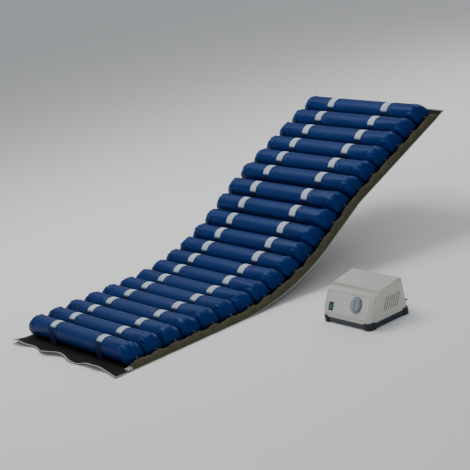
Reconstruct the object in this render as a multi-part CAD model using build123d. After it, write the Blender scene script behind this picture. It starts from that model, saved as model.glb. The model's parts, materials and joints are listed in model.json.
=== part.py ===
from build123d import *
import os

# Alternating-pressure mattress overlay: twenty air cells across a base sheet, held by straps, and its air pump.
# Millimetres. X is the width, +Y runs from the foot to the head and +Z is up. The origin is in the middle of
# the seat section's underside, where the mattress lies on the bed's deck.

# ---- Mattress: driving dimensions
CELL_COUNT = 20
PITCH = 100.0  # length of mattress that each cell takes
CELL_R = 45.5
CELL_HALF_LENGTH = 430.0
CELL_END = 60.0  # length of each tapered end
CELL_WALL = 1.2
SHEET = 2.0  # thickness of the base sheet
CELL_GAP = 0.3  # between a cell and the sheet under it
CELL_Z = SHEET + CELL_GAP + CELL_R
HINGE_Z = SHEET / 2  # the mattress folds in the base sheet
PANEL_HALF_WIDTH = 435.0
HINGE_GAP = 1.0  # slit between two panels of the base sheet
SEAT_MIDDLE = 400.0  # from the foot end to the middle of the seat section
FOOT_FLAP = 60.0
HEAD_FLAP = 40.0

NIPPLE_R = 4.5
NIPPLE_BORE = 2.5
NIPPLE_LENGTH = 14.0

STRAP_X = 200.0  # strap rows lie this far from the middle
STRAP_WIDTH = 45.0
STRAP_THICK = 0.6
STRAP_GAP = 0.2  # between a strap and its cell
STRAP_TAB = 15.0

SLEEVE_WIDTH = 30.0  # sleeve that carries the air lines along the right edge
SLEEVE_HEIGHT = 12.0
SLEEVE_RADIUS = 5.0
SLEEVE_SHORT = 2.0  # each end stops this far before the fold

INLET_R = 5.0
INLET_BORE = 3.0
INLET_LENGTH = 24.0
INLET_SPACING = 16.0
HOSE_WALL = 2.5  # room for the hose round each stub
INLET_Z = SHEET + HOSE_WALL + INLET_R

# Sections of the mattress: name, first cell, last cell, and rest bend in degrees at the fold before it.
BEND = 5.2
DROOP = -7.8
SECTIONS = [
    ("foot", 1, 2, 0.0),
    ("seat", 3, 6, 0.0),
    ("lumbar_1", 7, 7, BEND),
    ("lumbar_2", 8, 8, BEND),
    ("lumbar_3", 9, 9, BEND),
    ("lumbar_4", 10, 10, BEND),
    ("lumbar_5", 11, 11, BEND),
    ("back", 12, 14, BEND),
    ("head", 15, 20, DROOP),
]

# ---- Pump: driving dimensions, in its own frame with the front left corner of the tray at x = y = 0
PUMP_AT = (840.0, 345.0, 0.0)
PUMP_W = 300.0
PUMP_D = 220.0
PUMP_H = 165.0
CORNER = 20.0
WALL = 3.0
FOOT = 3.0  # the tray stands this far above the surface, on its corner bumpers
TRAY_TOP = 25.0
LIP_TOP = 34.0  # foot of the sloping front panel
PANEL_TOP = (52.0, 128.0)  # y and z of the crease above the front panel
RIDGE = (84.0, 9.0)  # y and height of the step across the top
REAR_TOP = 152.0
FLOOR = FOOT + WALL  # inside floor of the tray

BUMPER = 4.0
BUMPER_REACH = 36.0
BUMPER_TOP = 31.0

FASCIA = (268.0, 90.0)
FASCIA_THICK = 2.0
DIAL_AT = (54.0, 10.0)  # on the panel, from its middle
DIAL_R = 29.0
DIAL_HEIGHT = 17.0
DIAL_PLATE_R = 37.0
DIAL_STEP = 4.0
DIAL_BAR = (10.0, 44.0)
POINTER_WIDTH = 1.5
SHAFT_R = 3.0
SHAFT_DEPTH = 24.0
REGULATOR_R = 13.0
REGULATOR_DEPTH = 34.0
STUB_R = 3.0
FIT = 0.05  # radial clearance of a running fit
ROCKER_AT = (-104.0, -16.0)
ROCKER = (19.0, 27.0, 9.0)
ROCKER_GAP = 0.5
ROCKER_END_GAP = 1.6  # lets the ends swing as it tilts
ROCKER_SADDLE_R = 41.5
ROCKER_SADDLE_AT = 40.0  # height of the saddle's middle above the cap's mid plane
ROCKER_PIN_R = 1.5
ROCKER_FRAME = 3.0
WELL_DEPTH = 12.0

VENT_COUNT = 7
VENT_PITCH = 12.0
VENT_WIDTH = 4.0
VENT_LENGTH = 62.0
VENT_TILT = 28.0
VENT_AT = (140.0, 82.0)

HOOK_X = (75.0, 225.0)
HOOK_Z = 115.0
HOOK_ARM = 60.0
HOOK_WIDTH = 16.0
HOOK_THICK = 4.0
HOOK_REACH = 28.0
HOOK_LIP = 16.0
HOOK_GAP = 0.8  # between the arm and the rear wall

NOZZLE_X = (24.0, 48.0)
NOZZLE_Z = 46.0
NOZZLE_R = 5.0
NOZZLE_BORE = 3.0
NOZZLE_LENGTH = 22.0
NOZZLE_PLATE = 3.0
NOZZLE_MARGIN = 12.0
GLAND_AT = (266.0, 46.0)
GLAND_R = 9.0
GLAND_LENGTH = 24.0

CORE_MID = (160.0, 96.0)  # middle of the magnet core's back bar
CORE_W = 60.0
CORE_BAR = 12.0
CORE_LEG = 28.0
CORE_Z = (14.0, 42.0)
COIL_W = 32.0
COIL_WALL = 8.0
ARM_PIVOT = 60.0  # from the middle of the core to each arm's pivot
ARM_LENGTH = 50.0
ARM_THICK = 3.0
MAGNET = 16.0
ARM_GAP = 5.0  # between the core's poles and the arms
ARM_Z = (20.0, 36.0)
POST_R = 4.0
BELLOWS_R = 15.0
BELLOWS_LENGTH = 14.0
CHAMBER = (98.0, 26.0, 38.0)
CHAMBER_PIPE = 12.0
CHAMBER_WALL = 4.0
MOTOR_AT = (247.0, 165.0)
MOTOR_R = 25.0
MOTOR_H = 18.0
MOTOR_EAR = 6.5
ROTOR_R = 19.0
ROTOR_H = 8.0
ROTOR_SLOT = (6.0, 15.0)  # from the rotor's middle
BOARD = (92.0, 62.0, 1.6)
BOARD_AT = (64.0, 96.0, 16.0)
TRANSFORMER = (28.0, 26.0, 22.0)
RELAY = (20.0, 16.0, 14.0)
CAPACITOR_R = 5.0
CAPACITOR_H = 16.0
CAPACITOR_AT = 18.0

os.makedirs("parts", exist_ok=True)


def block(x0, x1, y0, y1, z0, z1):
    """A box between the given limits."""
    corner = Pos(x0, y0, z0)
    return corner * Box(x1 - x0, y1 - y0, z1 - z0, align=(Align.MIN, Align.MIN, Align.MIN))


def rod(radius, start, end):
    """A round rod from one point to another."""
    way = Vector(*end) - Vector(*start)
    place = Plane(origin=start, z_dir=way)
    return extrude(place * Circle(radius), way.length)


def save(name, shape, place=Location()):
    """Write one sub-part, put in its place."""
    export_step(place * shape, f"parts/{name}.step")


# ---- Mattress

def section_places():
    """Where each section's near fold lies, with local +Y along its panel, worked out fold by fold."""
    places = []
    place = Pos(0, -SEAT_MIDDLE, 0)
    reach = 0.0
    for name, first, last, bend in SECTIONS:
        place = place * Pos(0, reach, HINGE_Z) * Rot(bend, 0, 0) * Pos(0, 0, -HINGE_Z)
        places.append(place)
        reach = (last - first + 1) * PITCH
    return places


def cell_profile(inset):
    """Half outline of a cell in the XZ plane, a straight side with a quarter ellipse at each end."""
    half = CELL_HALF_LENGTH - inset
    radius = CELL_R - inset
    straight = CELL_HALF_LENGTH - CELL_END
    end = half - straight
    with BuildSketch(Plane.XZ) as outline:
        Rectangle(2 * straight, radius, align=(Align.CENTER, Align.MIN))
        for side in (-1, 1):
            with Locations((side * straight, 0)):
                Ellipse(end, radius)
        with Locations((0, -radius)):
            Rectangle(4 * half, radius, align=(Align.CENTER, Align.MIN), mode=Mode.SUBTRACT)
        with Locations((0, 0)):
            Rectangle(4 * half, radius, align=(Align.CENTER, Align.MAX), mode=Mode.SUBTRACT)
    return outline.sketch


def air_cell():
    """A bladder lying along X, with an air nipple on the right end."""
    skin = revolve(cell_profile(0), Axis.X) - revolve(cell_profile(CELL_WALL), Axis.X)
    root = CELL_HALF_LENGTH - 2 * CELL_WALL
    tip = CELL_HALF_LENGTH + NIPPLE_LENGTH
    nipple = rod(NIPPLE_R, (root, 0, 0), (tip, 0, 0))
    inside = revolve(cell_profile(CELL_WALL), Axis.X)
    bore = rod(NIPPLE_BORE, (root - CELL_END, 0, 0), (tip, 0, 0))
    return skin + (nipple - inside) - bore


def strap_loop():
    """A webbing loop over one cell, with a tab sewn to the sheet at each foot."""
    outer = CELL_R + STRAP_GAP + STRAP_THICK
    inner = CELL_R + STRAP_GAP
    with BuildSketch(Plane.YZ) as band:
        with Locations((0, CELL_Z)):
            Circle(outer)
        with Locations((0, CELL_Z)):
            Rectangle(2 * outer, CELL_Z - SHEET, align=(Align.CENTER, Align.MAX))
        with Locations((0, CELL_Z)):
            Circle(inner, mode=Mode.SUBTRACT)
        with Locations((0, CELL_Z)):
            Rectangle(2 * inner, CELL_Z, align=(Align.CENTER, Align.MAX), mode=Mode.SUBTRACT)
        for side in (-1, 1):
            with Locations((side * (outer - STRAP_TAB / 2), SHEET)):
                Rectangle(STRAP_TAB, STRAP_THICK, align=(Align.CENTER, Align.MIN))
    return extrude(band.sketch, STRAP_WIDTH / 2, both=True)


def base_panel(cells, foot_flap=0.0, head_flap=0.0):
    """A panel of the base sheet under its cells, with the air-line sleeve along the right edge."""
    start = -foot_flap if foot_flap else HINGE_GAP / 2
    stop = cells * PITCH + (head_flap if head_flap else -HINGE_GAP / 2)
    panel = block(-PANEL_HALF_WIDTH, PANEL_HALF_WIDTH + SLEEVE_WIDTH, start, stop, 0, SHEET)
    ends = (SLEEVE_SHORT, cells * PITCH - SLEEVE_SHORT)
    sleeve = block(PANEL_HALF_WIDTH, PANEL_HALF_WIDTH + SLEEVE_WIDTH, *ends, 0, SLEEVE_HEIGHT)
    sleeve = fillet(sleeve.edges().filter_by(Axis.Y).group_by(Axis.Z)[-1], SLEEVE_RADIUS)
    return panel + sleeve


def hose_inlets():
    """Two stubs at the foot end of the sleeve, where the pump's pair of hoses goes on."""
    mid = PANEL_HALF_WIDTH + SLEEVE_WIDTH / 2
    stubs = []
    for side in (-1, 1):
        x = mid + side * INLET_SPACING / 2
        start = (x, SLEEVE_SHORT, INLET_Z)
        end = (x, SLEEVE_SHORT - INLET_LENGTH, INLET_Z)
        stubs.append(rod(INLET_R, start, end) - rod(INLET_BORE, start, end))
    back = (SLEEVE_SHORT - WALL, SLEEVE_SHORT)
    half = INLET_SPACING / 2 + INLET_R + 1
    plate = block(mid - half, mid + half, *back, SHEET, INLET_Z + INLET_R + 1)
    return stubs[0] + stubs[1] + plate


def mattress():
    """Each section: its base panel, its cells and their strap loops."""
    cell = air_cell()
    loop = strap_loop()
    for (name, first, last, _), place in zip(SECTIONS, section_places()):
        cells = last - first + 1
        flaps = (FOOT_FLAP if first == 1 else 0.0, HEAD_FLAP if last == CELL_COUNT else 0.0)
        save(f"base_panel_{name}", base_panel(cells, *flaps), place)
        loops = []
        for i in range(cells):
            y = (i + 0.5) * PITCH
            save(f"air_cell_{first + i:02d}", cell, place * Pos(0, y, CELL_Z))
            for side in (-1, 1):
                loops.append(Pos(side * STRAP_X, y, 0) * loop)
        save(f"strap_loops_{name}", Compound(loops), place)
    save("hose_inlets", hose_inlets(), section_places()[0])


# ---- Pump housing

def pump_block(inset, z0, z1):
    """The pump's outline, a rectangle with round corners, between two heights."""
    base = Plane.XY.offset(z0) * Pos(PUMP_W / 2, PUMP_D / 2)
    outline = RectangleRounded(PUMP_W - 2 * inset, PUMP_D - 2 * inset, CORNER - inset)
    return extrude(base * outline, z1 - z0)


def side_profile(inset):
    """The pump's side view above the tray: lip, sloping front panel, crease, stepped top and rear."""
    step_y, step_h = RIDGE
    points = [
        (0, TRAY_TOP - CORNER),
        (0, LIP_TOP),
        PANEL_TOP,
        (step_y, PANEL_TOP[1] + step_h / 2),
        (step_y + step_h / 2, PANEL_TOP[1] + 2 * step_h),
        (PUMP_D - CORNER, PUMP_H),
        (PUMP_D, REAR_TOP),
        (PUMP_D, TRAY_TOP - CORNER),
    ]
    outline = Plane.YZ * make_face(Polyline(*points, close=True))
    return offset(outline, -inset, kind=Kind.INTERSECTION) if inset else outline


def housing(inset):
    """The closed form of the top cover, grown inward by the inset."""
    form = extrude(side_profile(inset), PUMP_W)
    return form & pump_block(inset, TRAY_TOP, PUMP_H)


def front_plane():
    """The plane of the sloping front panel, at its middle, with its normal pointing out."""
    rise = Vector(0, PANEL_TOP[0], PANEL_TOP[1] - LIP_TOP)
    middle = Vector(PUMP_W / 2, 0, LIP_TOP) + rise / 2
    out = Vector(1, 0, 0).cross(rise).normalized()
    return Plane(origin=middle, x_dir=(1, 0, 0), z_dir=out)


def on_front(at, radius, low, high):
    """A disc or rod standing on the front panel at a place, between two heights above it."""
    return extrude(front_plane().offset(low) * Pos(*at) * Circle(radius), high - low)


def front_box(at, size, low, high):
    """A rectangular block on the front panel."""
    return extrude(front_plane().offset(low) * Pos(*at) * Rectangle(*size), high - low)


def vents(x0, x1, lean):
    """Slanted grooves through a side wall."""
    slots = []
    for i in range(VENT_COUNT):
        y = VENT_AT[0] + (i - (VENT_COUNT - 1) / 2) * VENT_PITCH
        wall = Plane(origin=(x0, y, VENT_AT[1]), x_dir=(0, 1, 0), z_dir=(1, 0, 0))
        shape = Rot(0, 0, lean) * SlotOverall(VENT_LENGTH, VENT_WIDTH, rotation=90)
        slots.append(extrude(wall * shape, x1 - x0))
    return slots


def rocker_hole():
    """The opening in the front panel that the rocker's frame fills."""
    return (ROCKER[0] + 2 * ROCKER_FRAME, ROCKER[1] + 2 * ROCKER_FRAME)


def top_cover():
    """The hollow upper housing, open below, with its vents and the holes for what passes through it."""
    cover = housing(0) - housing(WALL) - pump_block(WALL, TRAY_TOP - WALL, LIP_TOP)
    cover -= vents(-1, WALL + 1, -VENT_TILT)
    cover -= vents(PUMP_W - WALL - 1, PUMP_W + 1, -VENT_TILT)
    cover -= on_front(DIAL_AT, SHAFT_R + 1, -2 * WALL, WALL)
    cover -= front_box(ROCKER_AT, rocker_hole(), -2 * WALL, WALL)
    for x in HOOK_X:
        cover -= rod(SHAFT_R + FIT, (x, PUMP_D - 2 * WALL, HOOK_Z), (x, PUMP_D + 1, HOOK_Z))
    for x in NOZZLE_X:
        cover -= rod(NOZZLE_BORE, (x, PUMP_D - 2 * WALL, NOZZLE_Z), (x, PUMP_D + 1, NOZZLE_Z))
    return cover


def base_tray():
    """The shallow tray that carries the works."""
    tray = pump_block(0, FOOT, TRAY_TOP) - pump_block(WALL, FLOOR, TRAY_TOP)
    posts = []
    for x, y in board_posts():
        posts.append(rod(POST_R, (x, y, FLOOR), (x, y, BOARD_AT[2])))
    for side in (-1, 1):
        x = CORE_MID[0] + side * ARM_PIVOT
        posts.append(rod(POST_R, (x, arm_y(), FLOOR), (x, arm_y(), ARM_Z[0] - ROCKER_GAP)))
        pin_top = ARM_Z[1] + ROCKER_GAP
        posts.append(rod(POST_R / 2, (x, arm_y(), FLOOR), (x, arm_y(), pin_top)))
    for post in posts:
        tray += post
    return tray


def corner_bumpers():
    """Four rubber corners wrapped round the tray, which are also the feet."""
    outline = pump_block(-BUMPER, 0, BUMPER_TOP) - pump_block(0, FOOT, BUMPER_TOP + 1)
    corners = []
    for x0 in (-BUMPER, PUMP_W + BUMPER - BUMPER_REACH):
        for y0 in (-BUMPER, PUMP_D + BUMPER - BUMPER_REACH):
            cut = block(x0, x0 + BUMPER_REACH, y0, y0 + BUMPER_REACH, 0, BUMPER_TOP)
            corners.append(outline & cut)
    return Compound([piece for corner in corners for piece in corner.solids()])


# ---- Pump controls

def fascia():
    """The label plate on the front panel, with a round plate under the dial."""
    plate = extrude(front_plane() * RectangleRounded(*FASCIA, CORNER / 2), FASCIA_THICK)
    plate += on_front(DIAL_AT, DIAL_PLATE_R, 0, FASCIA_THICK + 1)
    plate -= on_front(DIAL_AT, SHAFT_R + 1, -1, 2 * FASCIA_THICK)
    return plate - front_box(ROCKER_AT, rocker_hole(), -1, 2 * FASCIA_THICK)


def pressure_dial():
    """A round knob with a finger bar and a pointer groove, on a shaft that goes through the panel."""
    low = FASCIA_THICK + 1 + ROCKER_GAP
    skirt = on_front(DIAL_AT, DIAL_R, low, low + DIAL_HEIGHT / 2)
    cap = on_front(DIAL_AT, DIAL_R - DIAL_STEP, low, low + DIAL_HEIGHT - DIAL_STEP - 1)
    bar = front_box(DIAL_AT, DIAL_BAR, low, low + DIAL_HEIGHT)
    groove_at = (DIAL_AT[0], DIAL_AT[1] + DIAL_R / 2)
    top = low + DIAL_HEIGHT
    groove = front_box(groove_at, (POINTER_WIDTH, DIAL_R / 2), top - 1, top + 1)
    shaft = on_front(DIAL_AT, SHAFT_R, -SHAFT_DEPTH, low)
    return skirt + cap + bar - groove + shaft


def regulator_valve():
    """The bleed valve behind the panel that the dial turns, with a hose stub."""
    body = on_front(DIAL_AT, REGULATOR_R, -REGULATOR_DEPTH, -WALL)
    neck = front_plane().from_local_coords((*DIAL_AT, 2 * WALL - REGULATOR_DEPTH))
    stub = rod(STUB_R, neck, neck + Vector(2 * REGULATOR_R, 0, 0))
    return body + stub - on_front(DIAL_AT, SHAFT_R + FIT, -SHAFT_DEPTH - 1, 0)


def rocker_frame():
    """The frame of the power switch, snapped into the panel, with a bearing each side for the rocker."""
    hole = rocker_hole()
    frame = front_box(ROCKER_AT, (hole[0] + 3, hole[1] + 3), FASCIA_THICK, FASCIA_THICK + 1.5)
    frame += front_box(ROCKER_AT, hole, -WELL_DEPTH - 2, FASCIA_THICK)
    well = (ROCKER[0] + 2 * ROCKER_GAP, ROCKER[1] + 2 * ROCKER_END_GAP)
    frame -= front_box(ROCKER_AT, well, -WELL_DEPTH, 2 * FASCIA_THICK)
    return frame - rocker_pin(ROCKER_PIN_R + FIT, ROCKER[0] / 2 + 2)


def rocker_pin(radius, reach):
    """The rocker's pivot, across the switch."""
    place = front_plane() * Pos(*ROCKER_AT, -3) * Rot(0, 90, 0)
    return extrude(place * Circle(radius), reach, both=True)


def power_rocker():
    """A rocker cap, hollowed a little on top so that one end stands proud."""
    body = front_box(ROCKER_AT, ROCKER[:2], -ROCKER[2] / 2, ROCKER[2] / 2 + 1)
    saddle = front_plane() * Pos(*ROCKER_AT, ROCKER[2] / 2 + ROCKER_SADDLE_AT) * Rot(0, 90, 0)
    body -= extrude(saddle * Circle(ROCKER_SADDLE_R), ROCKER[0], both=True)
    return body + rocker_pin(ROCKER_PIN_R, ROCKER[0] / 2 + 1.8)


def bed_hook(x):
    """A hook on the rear for hanging the pump on a bed rail, folded down, with its pivot pin."""
    y0 = PUMP_D + HOOK_GAP
    y1 = y0 + HOOK_THICK
    half = HOOK_WIDTH / 2
    low = HOOK_Z - HOOK_ARM
    arm = block(x - half, x + half, y0, y1, low, HOOK_Z) + rod(half, (x, y0, HOOK_Z), (x, y1, HOOK_Z))
    reach = block(x - half, x + half, y0, y1 + HOOK_REACH, low, low + HOOK_THICK)
    tip = y1 + HOOK_REACH
    lip = block(x - half, x + half, tip - HOOK_THICK, tip, low, low + HOOK_LIP)
    inside = PUMP_D - WALL - HOOK_GAP
    pin = rod(SHAFT_R, (x, inside, HOOK_Z), (x, y0, HOOK_Z))
    head = rod(2 * SHAFT_R, (x, inside - WALL, HOOK_Z), (x, inside, HOOK_Z))
    return arm + reach + lip + pin + head


def outlet_nozzles():
    """Two ribbed air outlets on a plate at the rear."""
    low = (NOZZLE_X[0] - NOZZLE_MARGIN, NOZZLE_Z - NOZZLE_MARGIN)
    high = (NOZZLE_X[1] + NOZZLE_MARGIN, NOZZLE_Z + NOZZLE_MARGIN)
    outlets = block(low[0], high[0], PUMP_D, PUMP_D + NOZZLE_PLATE, low[1], high[1])
    for x in NOZZLE_X:
        tip = PUMP_D + NOZZLE_PLATE + NOZZLE_LENGTH
        outlets += rod(NOZZLE_R, (x, PUMP_D, NOZZLE_Z), (x, tip, NOZZLE_Z))
        outlets -= rod(NOZZLE_BORE, (x, PUMP_D - 1, NOZZLE_Z), (x, tip + 1, NOZZLE_Z))
    return outlets


def cord_gland():
    """The strain relief where the mains cord leaves the rear."""
    x, z = GLAND_AT
    collar = rod(GLAND_R, (x, PUMP_D, z), (x, PUMP_D + GLAND_LENGTH / 4, z))
    return collar + rod(GLAND_R - 4, (x, PUMP_D, z), (x, PUMP_D + GLAND_LENGTH, z))


# ---- Pump works

def arm_y():
    """Depth of the two swing arms, just behind the core's poles."""
    return CORE_MID[1] + CORE_BAR / 2 + CORE_LEG + ARM_GAP + ARM_THICK / 2


def laminated_core():
    """The iron core, a back bar with two legs that end in poles."""
    x, y = CORE_MID
    half = CORE_W / 2
    front = y - CORE_BAR / 2
    back = y + CORE_BAR / 2
    core = block(x - half, x + half, front, back, *CORE_Z)
    for x0 in (x - half, x + half - CORE_BAR):
        core += block(x0, x0 + CORE_BAR, front, back + CORE_LEG, *CORE_Z)
    return core


def drive_coil():
    """The winding round the core's back bar, between two flanges."""
    x, y = CORE_MID
    half = COIL_W / 2
    bar = block(x - half, x + half, y - CORE_BAR / 2, y + CORE_BAR / 2, *CORE_Z)
    grow = COIL_WALL
    deep = CORE_BAR / 2 + grow
    coil = block(x - half, x + half, y - deep, y + deep, CORE_Z[0] - grow, CORE_Z[1] + grow)
    return coil - bar


def swing_arm(side):
    """A spring arm with a magnet at its end that swings before a pole and works a bellows."""
    pivot = CORE_MID[0] + side * ARM_PIVOT
    end = pivot - side * ARM_LENGTH
    y0 = arm_y() - ARM_THICK / 2
    arm = block(min(pivot, end), max(pivot, end), y0, y0 + ARM_THICK, *ARM_Z)
    arm += rod(POST_R, (pivot, arm_y(), ARM_Z[0]), (pivot, arm_y(), ARM_Z[1]))
    mid = end + side * MAGNET / 2
    magnet = block(mid - MAGNET / 2, mid + MAGNET / 2, y0 - 2, y0, *ARM_Z)
    return arm + magnet - rod(POST_R / 2 + FIT, (pivot, arm_y(), 0), (pivot, arm_y(), PUMP_H))


def pole_x(side):
    """Middle of one pole of the core."""
    return CORE_MID[0] + side * (CORE_W - CORE_BAR) / 2


def bellows_y():
    """Where the bellows start, clear of the arms' swing."""
    return arm_y() + ARM_THICK / 2 + 2.5


def bellows():
    """Two rubber bellows, each a stack of three folds."""
    fold = BELLOWS_LENGTH / 3
    stacks = []
    for side in (-1, 1):
        for i in range(3):
            y = bellows_y() + i * fold
            radius = BELLOWS_R - (i % 2) * 2
            start = (pole_x(side), y, sum(ARM_Z) / 2)
            stacks.append(rod(radius, start, (pole_x(side), y + fold, sum(ARM_Z) / 2)))
    left = stacks[0] + stacks[1] + stacks[2]
    right = stacks[3] + stacks[4] + stacks[5]
    return Compound([left, right])


def air_chambers():
    """The block behind the bellows with a chamber for each, joined to the outlets by a pipe stub."""
    x = CORE_MID[0]
    y0 = bellows_y() + BELLOWS_LENGTH
    z0 = sum(ARM_Z) / 2 - CHAMBER[2] / 2
    chambers = block(x - CHAMBER[0] / 2, x + CHAMBER[0] / 2, y0, y0 + CHAMBER[1], z0, z0 + CHAMBER[2])
    for side in (-1, 1):
        start = (pole_x(side), y0, sum(ARM_Z) / 2)
        chambers -= rod(BELLOWS_R - CHAMBER_WALL, start, (pole_x(side), y0 + CHAMBER[1] - WALL, sum(ARM_Z) / 2))
        foot = (pole_x(side), y0 + CHAMBER[1] / 2, z0 + CHAMBER[2])
        chambers += rod(POST_R, foot, Vector(*foot) + Vector(0, 0, CHAMBER_PIPE))
    return chambers


def valve_motor():
    """The slow motor that turns the changeover valve."""
    x, y = MOTOR_AT
    motor = rod(MOTOR_R, (x, y, FLOOR), (x, y, FLOOR + MOTOR_H))
    for side in (-1, 1):
        ear = x + side * MOTOR_R
        motor += block(ear - MOTOR_EAR, ear + MOTOR_EAR, y - MOTOR_EAR, y + MOTOR_EAR, FLOOR, FLOOR + WALL)
    return motor - rod(SHAFT_R + FIT, (x, y, FLOOR + WALL), (x, y, FLOOR + MOTOR_H + 1))


def valve_rotor():
    """The changeover valve's slotted disc on its shaft."""
    x, y = MOTOR_AT
    low = FLOOR + MOTOR_H + ROCKER_GAP
    rotor = rod(ROTOR_R, (x, y, low), (x, y, low + ROTOR_H))
    start, stop = ROTOR_SLOT
    top = low + ROTOR_H
    rotor -= block(x + start, x + stop, y - WALL, y + WALL, top - WALL, top + 1)
    return rotor + rod(SHAFT_R, (x, y, FLOOR + 5), (x, y, low))


def board_posts():
    """The circuit board's four fixing points."""
    x, y, _ = BOARD_AT
    reach = (BOARD[0] / 2 - 6, BOARD[1] / 2 - 6)
    return [(x + i * reach[0], y + j * reach[1]) for i in (-1, 1) for j in (-1, 1)]


def circuit_board():
    """The control board with its transformer, relay and two capacitors."""
    x, y, z = BOARD_AT
    top = z + BOARD[2]
    board = block(x - BOARD[0] / 2, x + BOARD[0] / 2, y - BOARD[1] / 2, y + BOARD[1] / 2, z, top)
    wide, deep, high = TRANSFORMER
    board += block(x - wide - 2, x - 2, y - deep / 2, y + deep / 2, top, top + high)
    wide, deep, high = RELAY
    board += block(x + deep / 2, x + deep / 2 + wide, y - deep / 2, y + deep / 2, top, top + high)
    for i in (-1, 1):
        at = (x + wide, y + i * CAPACITOR_AT)
        board += rod(CAPACITOR_R, (*at, top), (*at, top + CAPACITOR_H))
    return board


def pump():
    """All of the pump's sub-parts, in its place beside the mattress."""
    pieces = {
        "pump_base_tray": base_tray(),
        "pump_top_cover": top_cover(),
        "corner_bumpers": corner_bumpers(),
        "control_fascia": fascia(),
        "pressure_dial": pressure_dial(),
        "regulator_valve": regulator_valve(),
        "rocker_frame": rocker_frame(),
        "power_rocker": power_rocker(),
        "bed_hook_left": bed_hook(HOOK_X[0]),
        "bed_hook_right": bed_hook(HOOK_X[1]),
        "outlet_nozzles": outlet_nozzles(),
        "cord_gland": cord_gland(),
        "laminated_core": laminated_core(),
        "drive_coil": drive_coil(),
        "swing_arm_left": swing_arm(-1),
        "swing_arm_right": swing_arm(1),
        "bellows_pair": bellows(),
        "air_chambers": air_chambers(),
        "valve_motor": valve_motor(),
        "valve_rotor": valve_rotor(),
        "circuit_board": circuit_board(),
    }
    for name, shape in pieces.items():
        save(name, shape, Pos(*PUMP_AT))


mattress()
pump()
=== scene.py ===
import json
import math

import bmesh
import bpy
import numpy as np
from mathutils import Matrix, Vector


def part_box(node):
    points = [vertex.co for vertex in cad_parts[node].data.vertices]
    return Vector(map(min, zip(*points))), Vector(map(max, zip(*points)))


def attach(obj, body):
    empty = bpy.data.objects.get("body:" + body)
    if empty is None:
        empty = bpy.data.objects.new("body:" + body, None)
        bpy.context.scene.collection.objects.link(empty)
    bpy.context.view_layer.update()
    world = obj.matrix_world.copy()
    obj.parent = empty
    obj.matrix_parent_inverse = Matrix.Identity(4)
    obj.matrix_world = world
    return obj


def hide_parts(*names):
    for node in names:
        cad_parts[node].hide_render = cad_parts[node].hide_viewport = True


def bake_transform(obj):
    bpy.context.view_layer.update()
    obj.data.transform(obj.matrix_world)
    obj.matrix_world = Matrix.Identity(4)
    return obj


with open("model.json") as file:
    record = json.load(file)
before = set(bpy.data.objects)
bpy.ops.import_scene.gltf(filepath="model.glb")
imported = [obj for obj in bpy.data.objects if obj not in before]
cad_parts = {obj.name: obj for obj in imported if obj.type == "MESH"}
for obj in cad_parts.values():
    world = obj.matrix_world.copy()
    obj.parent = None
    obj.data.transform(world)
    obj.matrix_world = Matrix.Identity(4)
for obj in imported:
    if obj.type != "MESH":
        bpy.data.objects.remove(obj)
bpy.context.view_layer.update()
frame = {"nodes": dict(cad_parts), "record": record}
record = frame["record"]
joints = {j["name"]: j for j in record["behaviour"]["joints"]}

# ---- Sizes in metres. S runs along the mattress from foot to head, with 0 in the middle of the seat section.
PITCH = 0.1
CELLS = 20
FOOT_S = -0.4  # where the first cell's space starts
SHEET = 0.0020
FOLD_ROUND = 0.024  # half length of the round bend at each fold
CELL_Z = 0.0478
CELL_R = 0.0455
CELL_HALF = 0.430
CELL_LOW = 0.0023
CELL_WIDE = 0.0463  # half width that a filled cell may take at its middle; above that it narrows, so folds close
CELL_CREST = 0.0955
STRAP_X = 0.200
STRAP_WIDTH = 0.045
STRAP_R = 0.0462
STRAP_THICK = 0.0010
STRAP_TAB = 0.015
STRAP_BEND = 0.004  # radius where a strap turns up from its tab
EDGE_X = 0.435
SLEEVE_X = (0.435, 0.465)
SLEEVE_IN = 0.424  # inner side of the gathered cloth, under the cells' ends
SLEEVE_ENDS = (FOOT_S + 0.003, FOOT_S + CELLS * PITCH - 0.002)
FOLD_H = 0.001  # height of the folds' hinges in the sheet

# Sections from foot to head: name, first cell, last cell, and the joint at the fold before it.
SECTIONS = [
    ("foot", 1, 2, None),
    ("seat", 3, 6, "foot_raise"),
    ("lumbar_1", 7, 7, "back_raise"),
    ("lumbar_2", 8, 8, "lumbar_fold_2"),
    ("lumbar_3", 9, 9, "lumbar_fold_3"),
    ("lumbar_4", 10, 10, "lumbar_fold_4"),
    ("lumbar_5", 11, 11, "lumbar_fold_5"),
    ("back", 12, 14, "back_fold"),
    ("head", 15, 20, "head_fold"),
]


# ---- The mattress's line, read from the frame

def cell_middle(i):
    """Middle of a cell's box, which is on its axis."""
    low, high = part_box(f"air_cell_{i:02d}")
    return (np.array(low) + np.array(high)) / 2


def section_slope(index):
    """A section's angle above level: the line between its two folds, or between its end cells."""
    _, first, last, joint = SECTIONS[index]
    if last > first:
        way = cell_middle(last) - cell_middle(first)
    else:
        here = np.array(joints[joint]["pos_m"])
        way = np.array(joints[SECTIONS[index + 1][3]]["pos_m"]) - here
    return math.atan2(way[2], way[1])


SLOPES = [section_slope(k) for k in range(len(SECTIONS))]
FOLDS = [FOOT_S + (first - 1) * PITCH for _, first, _, _ in SECTIONS[1:]]
STEP = 0.0005
LINE_S = np.arange(FOOT_S - 0.15, FOOT_S + CELLS * PITCH + 0.15, STEP)


def line_slope(s):
    """Slope at s: each section's own, with a smooth step from one to the next around each fold."""
    slope = np.full_like(s, SLOPES[0])
    for k, fold in enumerate(FOLDS):
        t = np.clip((s - fold) / (2 * FOLD_ROUND) + 0.5, 0, 1)
        slope = slope + (SLOPES[k + 1] - SLOPES[k]) * t * t * (3 - 2 * t)
    return slope


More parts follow.
